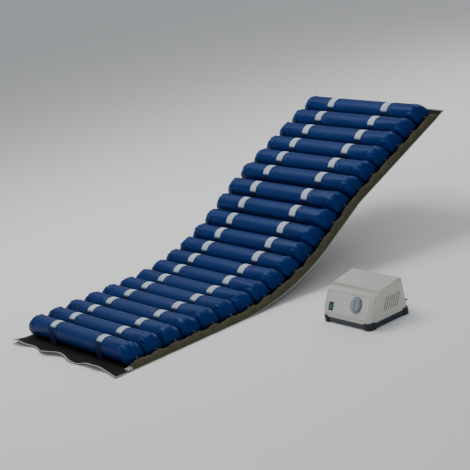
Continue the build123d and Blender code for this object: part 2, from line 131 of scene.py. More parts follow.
def line_points():
    """The underside's line: the slope added up step by step from the middle of the seat section, where y = z = 0."""
    slope = line_slope(LINE_S)
    mid = (slope[1:] + slope[:-1]) / 2
    y = np.concatenate([[0], np.cumsum(np.cos(mid)) * STEP])
    z = np.concatenate([[0], np.cumsum(np.sin(mid)) * STEP])
    return y - np.interp(0, LINE_S, y), z - np.interp(0, LINE_S, z), slope


LINE_Y, LINE_Z, LINE_SLOPE = line_points()


def on_mattress(x, s, h):
    """World points at x across, s along the mattress and h above its underside."""
    slope = np.interp(s, LINE_S, LINE_SLOPE)
    y = np.interp(s, LINE_S, LINE_Y) - h * np.sin(slope)
    z = np.interp(s, LINE_S, LINE_Z) + h * np.cos(slope)
    return np.stack(np.broadcast_arrays(x, y, z), axis=-1)


def section_of(cell):
    """The section index that a cell lies in."""
    for k, (_, first, last, _) in enumerate(SECTIONS):
        if first <= cell <= last:
            return k
    raise ValueError(cell)


def cell_place(i):
    """Turn and shift that carry a cell built along X about (0, 0, CELL_Z) to its place."""
    middle = cell_middle(i)
    middle[0] = 0
    turn = Matrix.Rotation(SLOPES[section_of(i)], 4, "X")
    return Matrix.Translation(Vector(middle)) @ turn @ Matrix.Translation((0, 0, -CELL_Z))


# ---- The straps' line

def strap_path():
    """The loop's line in the local y-z plane: up from the sheet, over the crest and down, with a tab at each foot."""
    foot = SHEET + STRAP_THICK / 2
    r = STRAP_R - STRAP_THICK / 2
    turn = np.linspace(0, np.pi, 49)
    arc = np.stack([r * np.cos(turn), CELL_Z + r * np.sin(turn)], axis=-1)
    up = np.stack([np.full(14, r), np.linspace(foot + STRAP_BEND, CELL_Z - 0.002, 14)], axis=-1)
    corner = np.linspace(np.pi / 2 - 0.2, 0.2, 5)
    inward, above = STRAP_BEND * (1 - np.cos(corner)), STRAP_BEND * (1 - np.sin(corner))
    bend = np.stack([r - inward, foot + above], axis=-1)
    flat = np.stack([np.linspace(r - STRAP_TAB, r - 0.0045, 5), np.full(5, foot)], axis=-1)
    half = np.concatenate([flat, bend, up])
    other = half[::-1] * np.array([-1, 1])
    return np.concatenate([half, arc, other])


def path_length(path):
    """Length along a line of points, at each point."""
    return np.concatenate([[0], np.cumsum(np.linalg.norm(np.diff(path, axis=0), axis=1))])


STRAP_LENGTH = path_length(strap_path())[-1]
STRAP_LIT_HALF = 0.030  # half length of a strap's lit, pale part; past it the tape is painted in shade


# ---- Meshes from arrays

def make_mesh(name, points, faces, uv=None, smooth=True):
    """A mesh object from arrays of points and faces, with one UV per point if given."""
    mesh = bpy.data.meshes.new(name)
    mesh.from_pydata(points.reshape(-1, 3).tolist(), [], faces.tolist() if hasattr(faces, "tolist") else faces)
    if uv is not None:
        layer = mesh.uv_layers.new(name="UVMap")
        index = np.empty(len(mesh.loops), int)
        mesh.loops.foreach_get("vertex_index", index)
        layer.data.foreach_set("uv", uv.reshape(-1, 2)[index].ravel())
    mesh.polygons.foreach_set("use_smooth", [smooth] * len(mesh.polygons))
    mesh.update()
    obj = bpy.data.objects.new(name, mesh)
    bpy.context.collection.objects.link(obj)
    return obj


def grid_faces(rows, columns, wrap=False):
    """Quads of a grid of rows by columns of points, closed round the columns if wrap."""
    i, j = np.meshgrid(np.arange(rows - 1), np.arange(columns if wrap else columns - 1), indexing="ij")
    k = (j + 1) % columns
    a, b = i * columns + j, i * columns + k
    c, d = (i + 1) * columns + k, (i + 1) * columns + j
    return np.stack([a, b, c, d], axis=-1).reshape(-1, 4)


def grid_surface(name, points, wrap=False, uv=None, flip=False):
    """A surface from a rows by columns grid of points."""
    rows, columns = points.shape[:2]
    faces = grid_faces(rows, columns, wrap)
    if flip:
        faces = faces[:, ::-1]
    return make_mesh(name, points, faces, uv)


def tube(name, path, radius, sides=16, caps=True):
    """A round tube: a circle of the given radius carried square to the path, with its turn kept steady."""
    path = np.asarray(path, float)
    way = np.gradient(path, axis=0)
    way /= np.linalg.norm(way, axis=1, keepdims=True)
    side = np.cross(way[0], [0.1, 0.2, 1.0])
    rings = []
    angle = np.linspace(0, 2 * np.pi, sides, endpoint=False)
    radius = np.broadcast_to(radius, len(path))
    for centre, ahead, r in zip(path, way, radius):
        side = side - ahead * (side @ ahead)
        side /= np.linalg.norm(side)
        up = np.cross(ahead, side)
        rings.append(centre + r * (np.outer(np.cos(angle), side) + np.outer(np.sin(angle), up)))
    points = np.array(rings)
    faces = grid_faces(len(path), sides, wrap=True).tolist()
    if caps:
        faces.append(list(range(sides))[::-1])
        faces.append([(len(path) - 1) * sides + i for i in range(sides)])
    obj = make_mesh(name, points, faces)
    point_out(obj)
    return obj


def point_out(obj):
    """Turns a closed mesh's faces outward."""
    work = bmesh.new()
    work.from_mesh(obj.data)
    bmesh.ops.remove_doubles(work, verts=work.verts, dist=1e-6)
    bmesh.ops.recalc_face_normals(work, faces=work.faces)
    work.to_mesh(obj.data)
    work.free()


def add_modifier(obj, kind, **values):
    """A modifier with its values set."""
    modifier = obj.modifiers.new(kind.title(), kind)
    for key, value in values.items():
        setattr(modifier, key, value)
    return modifier


def finish_piece(obj, body, slot, material, *nodes):
    """Gives a piece its material, ties it to its body when given one body's name (otherwise only fixes its place in
    the world), and hides the CAD nodes it stands for; the slot is not used.
    """
    obj.data.materials.clear()
    obj.data.materials.append(material)
    if isinstance(body, str):
        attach(obj, body)
    else:
        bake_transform(obj)
    if nodes:
        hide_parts(*nodes)
    return obj


# ---- Materials

def node_group(name, inputs, outputs):
    """An empty shader group with named inputs and outputs, and its two end nodes."""
    group = bpy.data.node_groups.new(name, "ShaderNodeTree")
    for label, kind, value in inputs:
        socket = group.interface.new_socket(label, in_out="INPUT", socket_type=f"NodeSocket{kind}")
        if value is not None:
            socket.default_value = value
    for label, kind in outputs:
        group.interface.new_socket(label, in_out="OUTPUT", socket_type=f"NodeSocket{kind}")
    return group, group.nodes.new("NodeGroupInput"), group.nodes.new("NodeGroupOutput")


def math_node(tree, operation, a, b=None, clamp=False):
    """A Math node; a and b are sockets or numbers."""
    node = tree.nodes.new("ShaderNodeMath")
    node.operation = operation
    node.use_clamp = clamp
    for socket, value in zip(node.inputs, (a, b)):
        if value is None:
            continue
        if isinstance(value, bpy.types.NodeSocket):
            tree.links.new(value, socket)
        else:
            socket.default_value = value
    return node.outputs[0]


def noise_node(tree, vector, scale, detail=3.0, rough=0.5):
    """A noise texture's value."""
    node = tree.nodes.new("ShaderNodeTexNoise")
    node.inputs["Scale"].default_value = scale
    node.inputs["Detail"].default_value = detail
    node.inputs["Roughness"].default_value = rough
    tree.links.new(vector, node.inputs["Vector"])
    return node.outputs["Fac"]


def blend_colours(tree, factor, a, b):
    """Colour a where the factor is 0 and b where it is 1; each is a socket or a colour."""
    node = tree.nodes.new("ShaderNodeMix")
    node.data_type = "RGBA"
    for socket, value in ((node.inputs[0], factor), (node.inputs[6], a), (node.inputs[7], b)):
        if isinstance(value, bpy.types.NodeSocket):
            tree.links.new(value, socket)
        elif isinstance(value, (int, float)):
            socket.default_value = value
        else:
            socket.default_value = (*value, 1)
    return node.outputs[2]


def weave_group():
    """Plain weave from a UV map in metres: warp and weft threads as crossed sine ridges, over and under by turns."""
    inputs = [("Vector", "Vector", None), ("Threads", "Float", 900.0)]
    group, start, end = node_group("weave", inputs, [("Height", "Float"), ("Thread", "Float")])
    split = group.nodes.new("ShaderNodeSeparateXYZ")
    group.links.new(start.outputs["Vector"], split.inputs[0])
    turn = math_node(group, "MULTIPLY", start.outputs["Threads"], math.pi)
    u = math_node(group, "SINE", math_node(group, "MULTIPLY", split.outputs[0], turn))
    v = math_node(group, "SINE", math_node(group, "MULTIPLY", split.outputs[1], turn))
    over = math_node(group, "MULTIPLY", u, v)
    warp = math_node(group, "ABSOLUTE", u)
    weft = math_node(group, "ABSOLUTE", v)
    pick = math_node(group, "GREATER_THAN", over, 0.0)
    low = math_node(group, "MULTIPLY", math_node(group, "SUBTRACT", 1.0, pick), weft)
    height = math_node(group, "ADD", math_node(group, "MULTIPLY", pick, warp), low)
    group.links.new(height, end.inputs["Height"])
    group.links.new(pick, end.inputs["Thread"])
    return group


def grain_group():
    """Moulded grain: fine and coarse noise added, as a height, with a slow mottle beside it."""
    inputs = [("Vector", "Vector", None), ("Fine", "Float", 1500.0), ("Coarse", "Float", 25.0)]
    group, start, end = node_group("grain", inputs, [("Height", "Float"), ("Mottle", "Float")])
    fine = group.nodes.new("ShaderNodeTexNoise")
    fine.inputs["Detail"].default_value = 2.0
    slow = group.nodes.new("ShaderNodeTexNoise")
    slow.inputs["Detail"].default_value = 4.0
    for node, key in ((fine, "Fine"), (slow, "Coarse")):
        group.links.new(start.outputs["Vector"], node.inputs["Vector"])
        group.links.new(start.outputs[key], node.inputs["Scale"])
    group.links.new(fine.outputs["Fac"], end.inputs["Height"])
    group.links.new(slow.outputs["Fac"], end.inputs["Mottle"])
    return group


WEAVE = weave_group()
GRAIN = grain_group()


def new_material(name, **values):
    """A Principled material with its plain values set on its own sockets."""
    material = bpy.data.materials.new(name)
    material.use_nodes = True
    shader = material.node_tree.nodes["Principled BSDF"]
    for key, value in values.items():
        socket = shader.inputs[key.replace("_", " ")]
        socket.default_value = (*value, 1) if isinstance(value, tuple) and len(value) == 3 else value
    return material, material.node_tree, shader


def bump(tree, shader, height, strength, distance):
    """Feeds a height to the shader's normal."""
    node = tree.nodes.new("ShaderNodeBump")
    node.inputs["Strength"].default_value = strength
    node.inputs["Distance"].default_value = distance
    tree.links.new(height, node.inputs["Height"])
    tree.links.new(node.outputs[0], shader.inputs["Normal"])


def coordinate(tree, kind):
    """The Object or UV coordinate."""
    return tree.nodes.new("ShaderNodeTexCoord").outputs[kind]


def use_group(tree, group, **values):
    """Places a shader group with its inputs set or linked."""
    node = tree.nodes.new("ShaderNodeGroup")
    node.node_tree = group
    for key, value in values.items():
        if isinstance(value, bpy.types.NodeSocket):
            tree.links.new(value, node.inputs[key])
        else:
            node.inputs[key].default_value = value
    return node


def cloth_material(name, dark, light, rough, threads, gloss, depth=0.00012, mottle=9.0):
    """Coated cloth: a plain weave over a slow change of colour, with a soft gloss."""
    material, tree, shader = new_material(name, Specular_IOR_Level=gloss)
    weave = use_group(tree, WEAVE, Vector=coordinate(tree, "UV"), Threads=threads)
    slow = noise_node(tree, coordinate(tree, "Object"), mottle, 5.0, 0.6)
    mixed = blend_colours(tree, slow, dark, light)
    shade = math_node(tree, "MULTIPLY", weave.outputs["Thread"], 0.18)
    tree.links.new(blend_colours(tree, shade, mixed, tuple(c * 0.55 for c in dark)), shader.inputs["Base Color"])
    worn = math_node(tree, "MULTIPLY_ADD", slow, 0.18)
    worn.node.inputs[2].default_value = rough - 0.09
    tree.links.new(worn, shader.inputs["Roughness"])
    bump(tree, shader, weave.outputs["Height"], 0.35, depth)
    return material


def plastic_material(name, colour, rough=0.45, fine=1500.0, depth=0.00006, coat=0.0, variation=0.12):
    """Moulded plastic: fine grain, slightly uneven in colour and gloss."""
    material, tree, shader = new_material(name, Coat_Weight=coat, Coat_Roughness=0.2)
    grain = use_group(tree, GRAIN, Vector=coordinate(tree, "Object"), Fine=fine, Coarse=22.0)
    darker = tuple(c * (1 - variation) for c in colour)
    lighter = tuple(min(1.0, c * (1 + variation / 2)) for c in colour)
    tree.links.new(blend_colours(tree, grain.outputs["Mottle"], darker, lighter), shader.inputs["Base Color"])
    gloss = math_node(tree, "MULTIPLY_ADD", grain.outputs["Mottle"], 0.2)
    gloss.node.inputs[2].default_value = rough - 0.1
    tree.links.new(gloss, shader.inputs["Roughness"])
    bump(tree, shader, grain.outputs["Height"], 0.3, depth)
    return material


def webbing_material():
    """Woven tape, pale over the lit crest of the cell, with painted shade in the cell's dark blue where it goes down
    on each side.

    U runs along the tape from one foot to the other, so how far it is from the middle of the tape's length gives the
    pale lit part and, past it, the painted shade; noise makes its edge and its colour uneven, and ribs run across the
    tape.
    """
    material, tree, shader = new_material("strap_webbing", Specular_IOR_Level=0.2, Roughness=0.7)
    uv = coordinate(tree, "UV")
    weave = use_group(tree, WEAVE, Vector=uv, Threads=700.0)
    slow = noise_node(tree, coordinate(tree, "Object"), 60.0, 4.0)
    split = tree.nodes.new("ShaderNodeSeparateXYZ")
    tree.links.new(uv, split.inputs[0])
    # painted shade: past the lit crest the tape fades to the cell's dark blue
    off = math_node(tree, "ABSOLUTE", math_node(tree, "SUBTRACT", split.outputs[0], STRAP_LENGTH / 2))
    ragged = math_node(tree, "ADD", off, math_node(tree, "MULTIPLY", slow, 0.006))
    shade_ramp = tree.nodes.new("ShaderNodeMapRange")
    shade_ramp.interpolation_type = "SMOOTHSTEP"
    for key, value in (("From Min", STRAP_LIT_HALF), ("From Max", STRAP_LIT_HALF + 0.014)):
        shade_ramp.inputs[key].default_value = value
    tree.links.new(ragged, shade_ramp.inputs["Value"])
    pale = blend_colours(tree, slow, (0.42, 0.52, 0.60), (0.74, 0.80, 0.84))
    shade = math_node(tree, "MULTIPLY", weave.outputs["Thread"], 0.22)
    ribbed = blend_colours(tree, shade, pale, (0.22, 0.30, 0.38))
    # painted shade: away from the crest the tape takes the nylon's dark blue, as it looks in the shade down the cell's
    # sides
    colour = blend_colours(tree, shade_ramp.outputs["Result"], ribbed, (0.0010, 0.0100, 0.055))
    edge = math_node(tree, "ABSOLUTE", split.outputs[1])
    row = math_node(tree, "COMPARE", edge, STRAP_WIDTH / 2 - 0.004)
    row.node.inputs[2].default_value = 0.0006
    pitch = math_node(tree, "SINE", math_node(tree, "MULTIPLY", split.outputs[0], 2 * math.pi / 0.004))
    stitch = math_node(tree, "MULTIPLY", row, math_node(tree, "GREATER_THAN", pitch, -0.2))
    faded = math_node(tree, "MULTIPLY", stitch, 0.55)
    tree.links.new(blend_colours(tree, faded, colour, (0.10, 0.16, 0.26)), shader.inputs["Base Color"])
    relief = math_node(tree, "ADD", weave.outputs["Height"], math_node(tree, "MULTIPLY", stitch, 2.0))
    bump(tree, shader, relief, 0.6, 0.0003)
    return material


def clear_material():
    """Clear soft plastic, a little yellow."""
    values = dict(Base_Color=(0.75, 0.76, 0.70), Roughness=0.18, IOR=1.45)
    material, tree, shader = new_material("clear_plastic", **values)
    shader.inputs["Transmission Weight"].default_value = 0.55
    cloud = noise_node(tree, coordinate(tree, "Object"), 120.0)
    bump(tree, shader, cloud, 0.1, 0.0002)
    return material


NYLON = cloth_material("cell_nylon", (0.0001, 0.0120, 0.092), (0.0003, 0.0280, 0.165), 0.42, 1100.0, 0.26)
NYLON.node_tree.nodes["Principled BSDF"].inputs["Specular Tint"].default_value = (0.35, 0.60, 1.0, 1)
BASE = cloth_material("base_sheet", (0.0045, 0.0032, 0.0030), (0.0130, 0.0085, 0.0065), 0.7, 800.0, 0.12)
SLEEVE = cloth_material("sleeve_cloth", (0.030, 0.028, 0.016), (0.125, 0.115, 0.070), 0.75, 700.0, 0.2, mottle=28.0)
BINDING = cloth_material("binding_tape", (0.20, 0.24, 0.18), (0.40, 0.45, 0.37), 0.8, 1200.0, 0.2, mottle=60.0)
WEBBING = webbing_material()
CLEAR = clear_material()
CASE = plastic_material("case_abs", (0.52, 0.50, 0.46), 0.42)
TRAY = plastic_material("tray_abs", (0.010, 0.018, 0.032), 0.4)
RUBBER = plastic_material("bumper_rubber", (0.012, 0.016, 0.022), 0.7, 900.0, 0.0001)
LABEL = plastic_material("label_film", (0.58, 0.57, 0.54), 0.35, 2500.0, 0.00002, variation=0.06)
DIAL = plastic_material("dial_plastic", (0.30, 0.34, 0.40), 0.35, 1800.0)
DIAL_PLATE = plastic_material("dial_plate", (0.24, 0.29, 0.37), 0.4, 2000.0, 0.00002)
GREEN = plastic_material("rocker_green", (0.012, 0.150, 0.060), 0.2, 2500.0, 0.00001, coat=0.5)
BLACK = plastic_material("black_plastic", (0.015, 0.015, 0.016), 0.4)
SMOKE = plastic_material("dark_pvc", (0.010, 0.016, 0.030), 0.3, coat=0.3)
MARK = plastic_material("mark_ink", (0.05, 0.07, 0.09), 0.5, 2500.0, 0.00001)


# ---- Air cells

CELL_ROWS = 190
CELL_COLUMNS = 72
END_LENGTH = 0.072
END_DROP = 0.013
WELD = 0.007  # width of the flat weld at each end
WELD_WAVE = 0.0022  # how far the gathers move the weld up and down
SLACK = 0.965  # the slack tube's radius, as a share of the filled one's
GATHER = 0.075  # depth of the puckers in the ends, as a share of the radius
PINCH_RAMP = 0.003  # width over which a strap's hold on the cell fades
STRAP_PUCKER = 0.0006
NARROWING = 0.075  # how much the limit on a cell's half width comes in for each metre of height
SHAPE_SEEDS = (3, 8, 21, 34)
LAST_FRAME = 20
CLOTH_SETTINGS = dict(
    quality=5,
    mass=0.2,
    tension_stiffness=12,
    compression_stiffness=12,
    shear_stiffness=4,
    bending_stiffness=0.6,
    vertex_group_mass="hold",
    use_pressure=True,
    uniform_pressure_force=6.0,
    shrink_min=-0.07,
)


def cell_grid(seed):
    """A slack cell about X: a tube that closes at each end to a flat weld lying across it, like a pillow's end.

    With e the distance into an end, as a share of its length, the section's height goes as the root of 1 - e squared
    while its width holds, and its middle sinks by END_DROP. Gathers are cosines across the width that move the weld up
    and down together with puckers round the section that are deepest half way into the end.
    """
    random = np.random.default_rng(seed)
    spacing = np.linspace(-1, 1, CELL_ROWS)
    along = np.sign(spacing) * (1 - (1 - np.abs(spacing)) ** 1.25)
    x = along * CELL_HALF
    e = np.clip((np.abs(x) - (CELL_HALF - WELD - END_LENGTH)) / END_LENGTH, 0, 1)
    wide = 1 - 0.05 * e ** 2
    tall = np.maximum(np.sqrt(np.clip(1 - e ** 2.1, 0, 1)), 0.022)
    angle = np.linspace(0, 2 * np.pi, CELL_COLUMNS, endpoint=False)
    across = np.cos(angle)
    pucker = np.zeros((CELL_ROWS, CELL_COLUMNS))
    weld = np.zeros((CELL_ROWS, CELL_COLUMNS))
    for count in (7, 12, 17):
        phase = random.uniform(0, 2 * np.pi, 4)
        size = random.uniform(0.3, 0.6)
        turn = np.where(x > 0, phase[0], phase[1])[:, None]
        pucker += np.cos(count * angle[None] + turn) * size
        shift = np.where(x > 0, phase[2], phase[3])[:, None]
        weld += np.cos(count * 0.7 * np.pi * across[None] + shift) * size
    depth = GATHER * np.sin(np.pi * np.clip(e, 0, 1)) ** 1.2
    radius = CELL_R * SLACK * (1 + depth[:, None] * pucker)
    y = radius * wide[:, None] * across[None]
    z = radius * tall[:, None] * np.sin(angle)[None] - (END_DROP * e ** 2)[:, None]
    z = z + WELD_WAVE * weld * (e ** 3)[:, None]
    return np.stack(np.broadcast_arrays(x[:, None], y, z), axis=-1), x, angle


def strap_pinch(x):
    """1 under the two straps and 0 away from them, with a short ramp at the strap's edges."""
    off = np.minimum(np.abs(x - STRAP_X), np.abs(x + STRAP_X))
    return np.clip((STRAP_WIDTH / 2 + PINCH_RAMP - off) / PINCH_RAMP, 0, 1)


def inflate(obj, pinned):
    """Blows a slack cell up: cloth with air pressure, held at the weights given, with its result kept in the mesh."""
    group = obj.vertex_groups.new(name="hold")
    for index in np.nonzero(pinned > 0)[0]:
        group.add([int(index)], float(pinned[index]), "REPLACE")
    cloth = add_modifier(obj, "CLOTH")
    settings = cloth.settings
    for key, value in CLOTH_SETTINGS.items():
        setattr(settings, key, value)
    settings.effector_weights.gravity = 0
    scene = bpy.context.scene
    for number in range(1, LAST_FRAME + 1):
        scene.frame_set(number)
    graph = bpy.context.evaluated_depsgraph_get()
    puffed = obj.evaluated_get(graph)
    points = np.empty(len(obj.data.vertices) * 3)
    puffed.data.vertices.foreach_get("co", points)
    obj.modifiers.clear()
    scene.frame_set(1)
    return points.reshape(-1, 3)


def soft_limit(value, limit, ease):
    """Value kept below the limit, rounding off over the last stretch: limit - ease * exp of how far it is past."""
    over = value - (limit - ease)
    return np.where(over > 0, limit - ease * np.exp(-over / ease), value)


def cell_shape(seed):
    """One cell's finished points: blown up, then flattened on the sheet, at the crest and towards its neighbours."""
    grid, x, angle = cell_grid(seed)
    points = grid.reshape(-1, 3).copy()
    flat_x = np.repeat(x, CELL_COLUMNS)
    slack = make_mesh("slack_cell", grid, grid_faces(CELL_ROWS, CELL_COLUMNS, wrap=True))
    ends = np.abs(flat_x) > CELL_HALF - WELD - 0.002
    held = np.maximum(strap_pinch(flat_x), ends.astype(float))
    points = inflate(slack, held)
    bpy.data.objects.remove(slack)
    random = np.random.default_rng(seed + 50)
    pucker = np.zeros(len(points))
    round_angle = np.tile(angle, CELL_ROWS)
    for side in (-1, 1):
        off = np.abs(np.abs(flat_x - side * STRAP_X) - STRAP_WIDTH / 2)
        near = np.exp(-off / 0.016) * (1 - strap_pinch(flat_x))
        for count in (11, 17, 26):
            pucker += near * np.cos(count * round_angle + random.uniform(0, 6.28)) * random.uniform(0.2, 0.5)
    radial = np.stack([np.cos(round_angle), np.sin(round_angle)], axis=-1)
    points[:, 1:] += radial * (pucker * STRAP_PUCKER)[:, None]
    room = CELL_WIDE - NARROWING * np.clip(points[:, 2], 0, None)
    points[:, 1] = np.sign(points[:, 1]) * soft_limit(np.abs(points[:, 1]), room, 0.003)
    points[:, 2] += CELL_Z
    points[:, 2] = soft_limit(points[:, 2], CELL_CREST, 0.002)
    points[:, 2] = -soft_limit(-points[:, 2], -CELL_LOW, 0.0015)
    points[:, 0] = np.clip(points[:, 0], -CELL_HALF - 0.002, CELL_HALF + 0.002)
    return points


def cell_uv():
    """Metres along the cell and round it."""
    u = np.linspace(-CELL_HALF, CELL_HALF, CELL_ROWS)
    v = np.linspace(0, 2 * np.pi * CELL_R, CELL_COLUMNS, endpoint=False)
    return np.stack(np.meshgrid(u, v, indexing="ij"), axis=-1)


SHAPES = [cell_shape(seed) for seed in SHAPE_SEEDS]


def air_cell(i):
    """One cell: one of the blown shapes, mirrored end for end or side for side by turns, put in its place."""
    shape = SHAPES[(i * 3) % len(SHAPES)].copy()
    flips = ((i // 2) % 2, (i // 3) % 2)
    faces = grid_faces(CELL_ROWS, CELL_COLUMNS, wrap=True)
    for axis, flip in enumerate(flips):
        if flip:
            shape[:, axis] *= -1
            faces = faces[:, ::-1]
    place = np.array(cell_place(i))
    shape = shape @ place[:3, :3].T + place[:3, 3]
    ends = [list(range(CELL_COLUMNS)), list(range((CELL_ROWS - 1) * CELL_COLUMNS, CELL_ROWS * CELL_COLUMNS))]
    obj = make_mesh(f"air_cell_{i:02d}_skin", shape, faces.tolist() + ends, cell_uv())
    point_out(obj)
    name = SECTIONS[section_of(i)][0]
    finish_piece(obj, f"section_{name}", "cell_nylon", NYLON, f"air_cell_{i:02d}")
    return obj


# ---- Strap loops

def strap(i, side):
    """Webbing over a cell: the loop's line carried along X for the strap's width, its edges a little thinner."""
    path = strap_path()
    random = np.random.default_rng(i * 2 + (side > 0))
    across = np.linspace(-0.5, 0.5, 9)
    lean = random.uniform(-0.0015, 0.0015)
    x = side * STRAP_X + across[None] * STRAP_WIDTH + lean * (path[:, 1:2] / CELL_CREST)
    sag = 0.0004 * (1 - (2 * across) ** 2)[None]
    away = path - np.array([0, CELL_Z])
    away = away / np.linalg.norm(away, axis=1, keepdims=True)
    crest = np.clip((path[:, 1:2] - CELL_Z) / CELL_R, 0, 1)
    y = path[:, 0:1] + away[:, 0:1] * sag * crest * 0.2
    z = path[:, 1:2] + away[:, 1:2] * sag * crest
    grid = np.stack(np.broadcast_arrays(x, y, z), axis=-1)
    length = path_length(path)
    uv = np.stack(np.meshgrid(length, across * STRAP_WIDTH, indexing="ij"), axis=-1)
    place = np.array(cell_place(i))
    grid = grid @ place[:3, :3].T + place[:3, 3]
    label = "left" if side < 0 else "right"
    obj = grid_surface(f"strap_{i:02d}_{label}", grid, uv=uv)
    add_modifier(obj, "SOLIDIFY", thickness=STRAP_THICK, offset=0)
    return obj


def straps():
    """Two straps over each cell; the first of each section stands for that section's CAD loops."""
    for name, first, last, _ in SECTIONS:
        for i in range(first, last + 1):
            for side in (-1, 1):
                obj = strap(i, side)
                nodes = [f"strap_loops_{name}"] if i == first and side < 0 else []
                finish_piece(obj, f"section_{name}", "strap_webbing", WEBBING, *nodes)


# ---- Base sheet, sleeve and binding, in runs from mid section to mid section, so that each crosses one fold

FOOT_FLAP = 0.082
HEAD_FLAP = 0.038
FOOT_END = FOOT_S - FOOT_FLAP
HEAD_END = FOOT_S + CELLS * PITCH + HEAD_FLAP
RIGHT_EDGE = SLEEVE_X[1] - 0.001
CLOTH_THICK = 0.0014
CLOTH_LIFT = 0.0001  # the cloth's middle above the middle of its CAD sheet
BINDING_HALF = (0.0045, 0.0016)  # half width and half height of the binding tape
SLEEVE_THICK = 0.0008


def run_limits():
    """The two ends in s of each run."""
    mids = [FOOT_S + (first + last - 1) / 2 * PITCH for _, first, last, _ in SECTIONS]
    mids[0] = FOOT_END
    mids[-1] = HEAD_END
    return list(zip(mids[:-1], mids[1:]))


def fold_bodies(k):
    """The bodies on each side of a run's fold and the two points on the line at either end of the fold's rounded
    stretch.
    """
    ends = [on_mattress(0.0, FOLDS[k] + way * FOLD_ROUND, FOLD_H).tolist() for way in (-1, 1)]
    return (f"section_{SECTIONS[k][0]}", f"section_{SECTIONS[k + 1][0]}", *ends)


def edge_wave(x, s):
    """Height of the sheet above its rest line: only the flaps lift, in slow waves that grow towards their ends."""
    foot = np.clip((FOOT_S - s) / 0.085, 0, 1)
    head = np.clip((s - (HEAD_END - 0.035)) / 0.035, 0, 1)
    wave = 0.5 + 0.5 * np.cos(2 * np.pi * (x + 0.02) / 0.33 + 0.8)
    ripple = 0.5 + 0.5 * np.cos(2 * np.pi * x / 0.117 + 2.0)
    return foot ** 1.5 * (0.020 * wave + 0.004 * ripple) + head ** 2 * (0.004 * wave)


def foot_edge(x):
    """How far the foot flap's end is drawn back at x: two shallow arches between longer corners."""
    return 0.016 * np.cos(2 * np.pi * x / 0.58) ** 2 + 0.006 * np.cos(2 * np.pi * x / 0.21 + 1)


def sheet_run(k, start, stop):
    """One run of the base sheet, as a grid over x and s raised by the edge wave, and that grid's s."""
    x = np.linspace(-EDGE_X, RIGHT_EDGE, 120)
    count = max(12, int((stop - start) / 0.005))
    t = np.linspace(0, 1, count)
    s = np.broadcast_to((start + (stop - start) * t)[:, None], (count, len(x))).copy()
    if k == 0:
        back = np.clip((FOOT_S - 0.01 - s) / (FOOT_S - 0.01 - FOOT_END), 0, 1)
        s += back * foot_edge(x)[None]
    xx = np.broadcast_to(x[None], s.shape)
    h = SHEET / 2 + CLOTH_LIFT + edge_wave(xx, s)
    grid = on_mattress(xx, s, h)
    uv = np.stack([xx, s], axis=-1)
    obj = grid_surface(f"base_sheet_{k + 1}", grid, uv=uv)
    add_modifier(obj, "SOLIDIFY", thickness=CLOTH_THICK, offset=0)
    return obj, s


def sweep_strip(name, centre, across, up, half_width, half_height):
    """A flat oval tape: an ellipse carried along a line of points, across and up being its two axes."""
    angle = np.linspace(0, 2 * np.pi, 12, endpoint=False)
    ring = across[:, None] * (half_width * np.cos(angle))[None, :, None]
    ring = ring + up[:, None] * (half_height * np.sin(angle))[None, :, None]
    points = centre[:, None] + ring
    rows = len(centre)
    faces = grid_faces(rows, 12, wrap=True).tolist()
    faces.append(list(range(12)))
    faces.append([(rows - 1) * 12 + i for i in range(12)])
    length = path_length(centre)
    uv = np.stack(np.meshgrid(length, angle * half_width, indexing="ij"), axis=-1)
    obj = make_mesh(name, points, faces, uv)
    point_out(obj)
    return obj


def edge_line(x, s):
    """Points along an edge of the sheet, with the directions across and up."""
    h = SHEET / 2 + CLOTH_LIFT + edge_wave(x, s)
    centre = on_mattress(x, s, h)
    slope = np.interp(s, LINE_S, LINE_SLOPE)
    up = np.stack([0 * slope, -np.sin(slope), np.cos(slope)], axis=-1)
    way = np.gradient(centre, axis=0)
    way /= np.linalg.norm(way, axis=1, keepdims=True)
    across = np.cross(up, way)
    across /= np.linalg.norm(across, axis=1, keepdims=True)
    return centre, across, np.cross(way, across)


def base_runs():
    """The sheet with its binding at each side, run by run."""
    limits = run_limits()
    for k, (start, stop) in enumerate(limits):
        before, after = SECTIONS[k][0], SECTIONS[k + 1][0]
        bodies = fold_bodies(k)
        obj, s = sheet_run(k, start, stop)
        nodes = [f"base_panel_{before}"] + ([f"base_panel_{after}"] if k == len(limits) - 1 else [])
        finish_piece(obj, bodies, "base_sheet", BASE, *nodes)
        for side, x in (("left", -EDGE_X), ("right", RIGHT_EDGE)):
            line_s = np.linspace(s[0, 0 if side == "left" else -1], stop, max(20, int((stop - start) / 0.004)))
            line = edge_line(np.full_like(line_s, x), line_s)
            tape = sweep_strip(f"binding_{side}_{k + 1}", *line, *BINDING_HALF)
            finish_piece(tape, bodies, "base_sheet", BINDING)
    end_binding("foot", FOOT_END, "section_foot")
    end_binding("head", HEAD_END, "section_head")


def end_binding(name, s_end, body):
    """The binding across the foot or head end of the sheet."""
    x = np.linspace(-EDGE_X, RIGHT_EDGE, 160)
    s = np.full_like(x, s_end) + (foot_edge(x) if name == "foot" else 0)
    tape = sweep_strip(f"binding_{name}_end", *edge_line(x, s), *BINDING_HALF)
    finish_piece(tape, body, "base_sheet", BINDING)


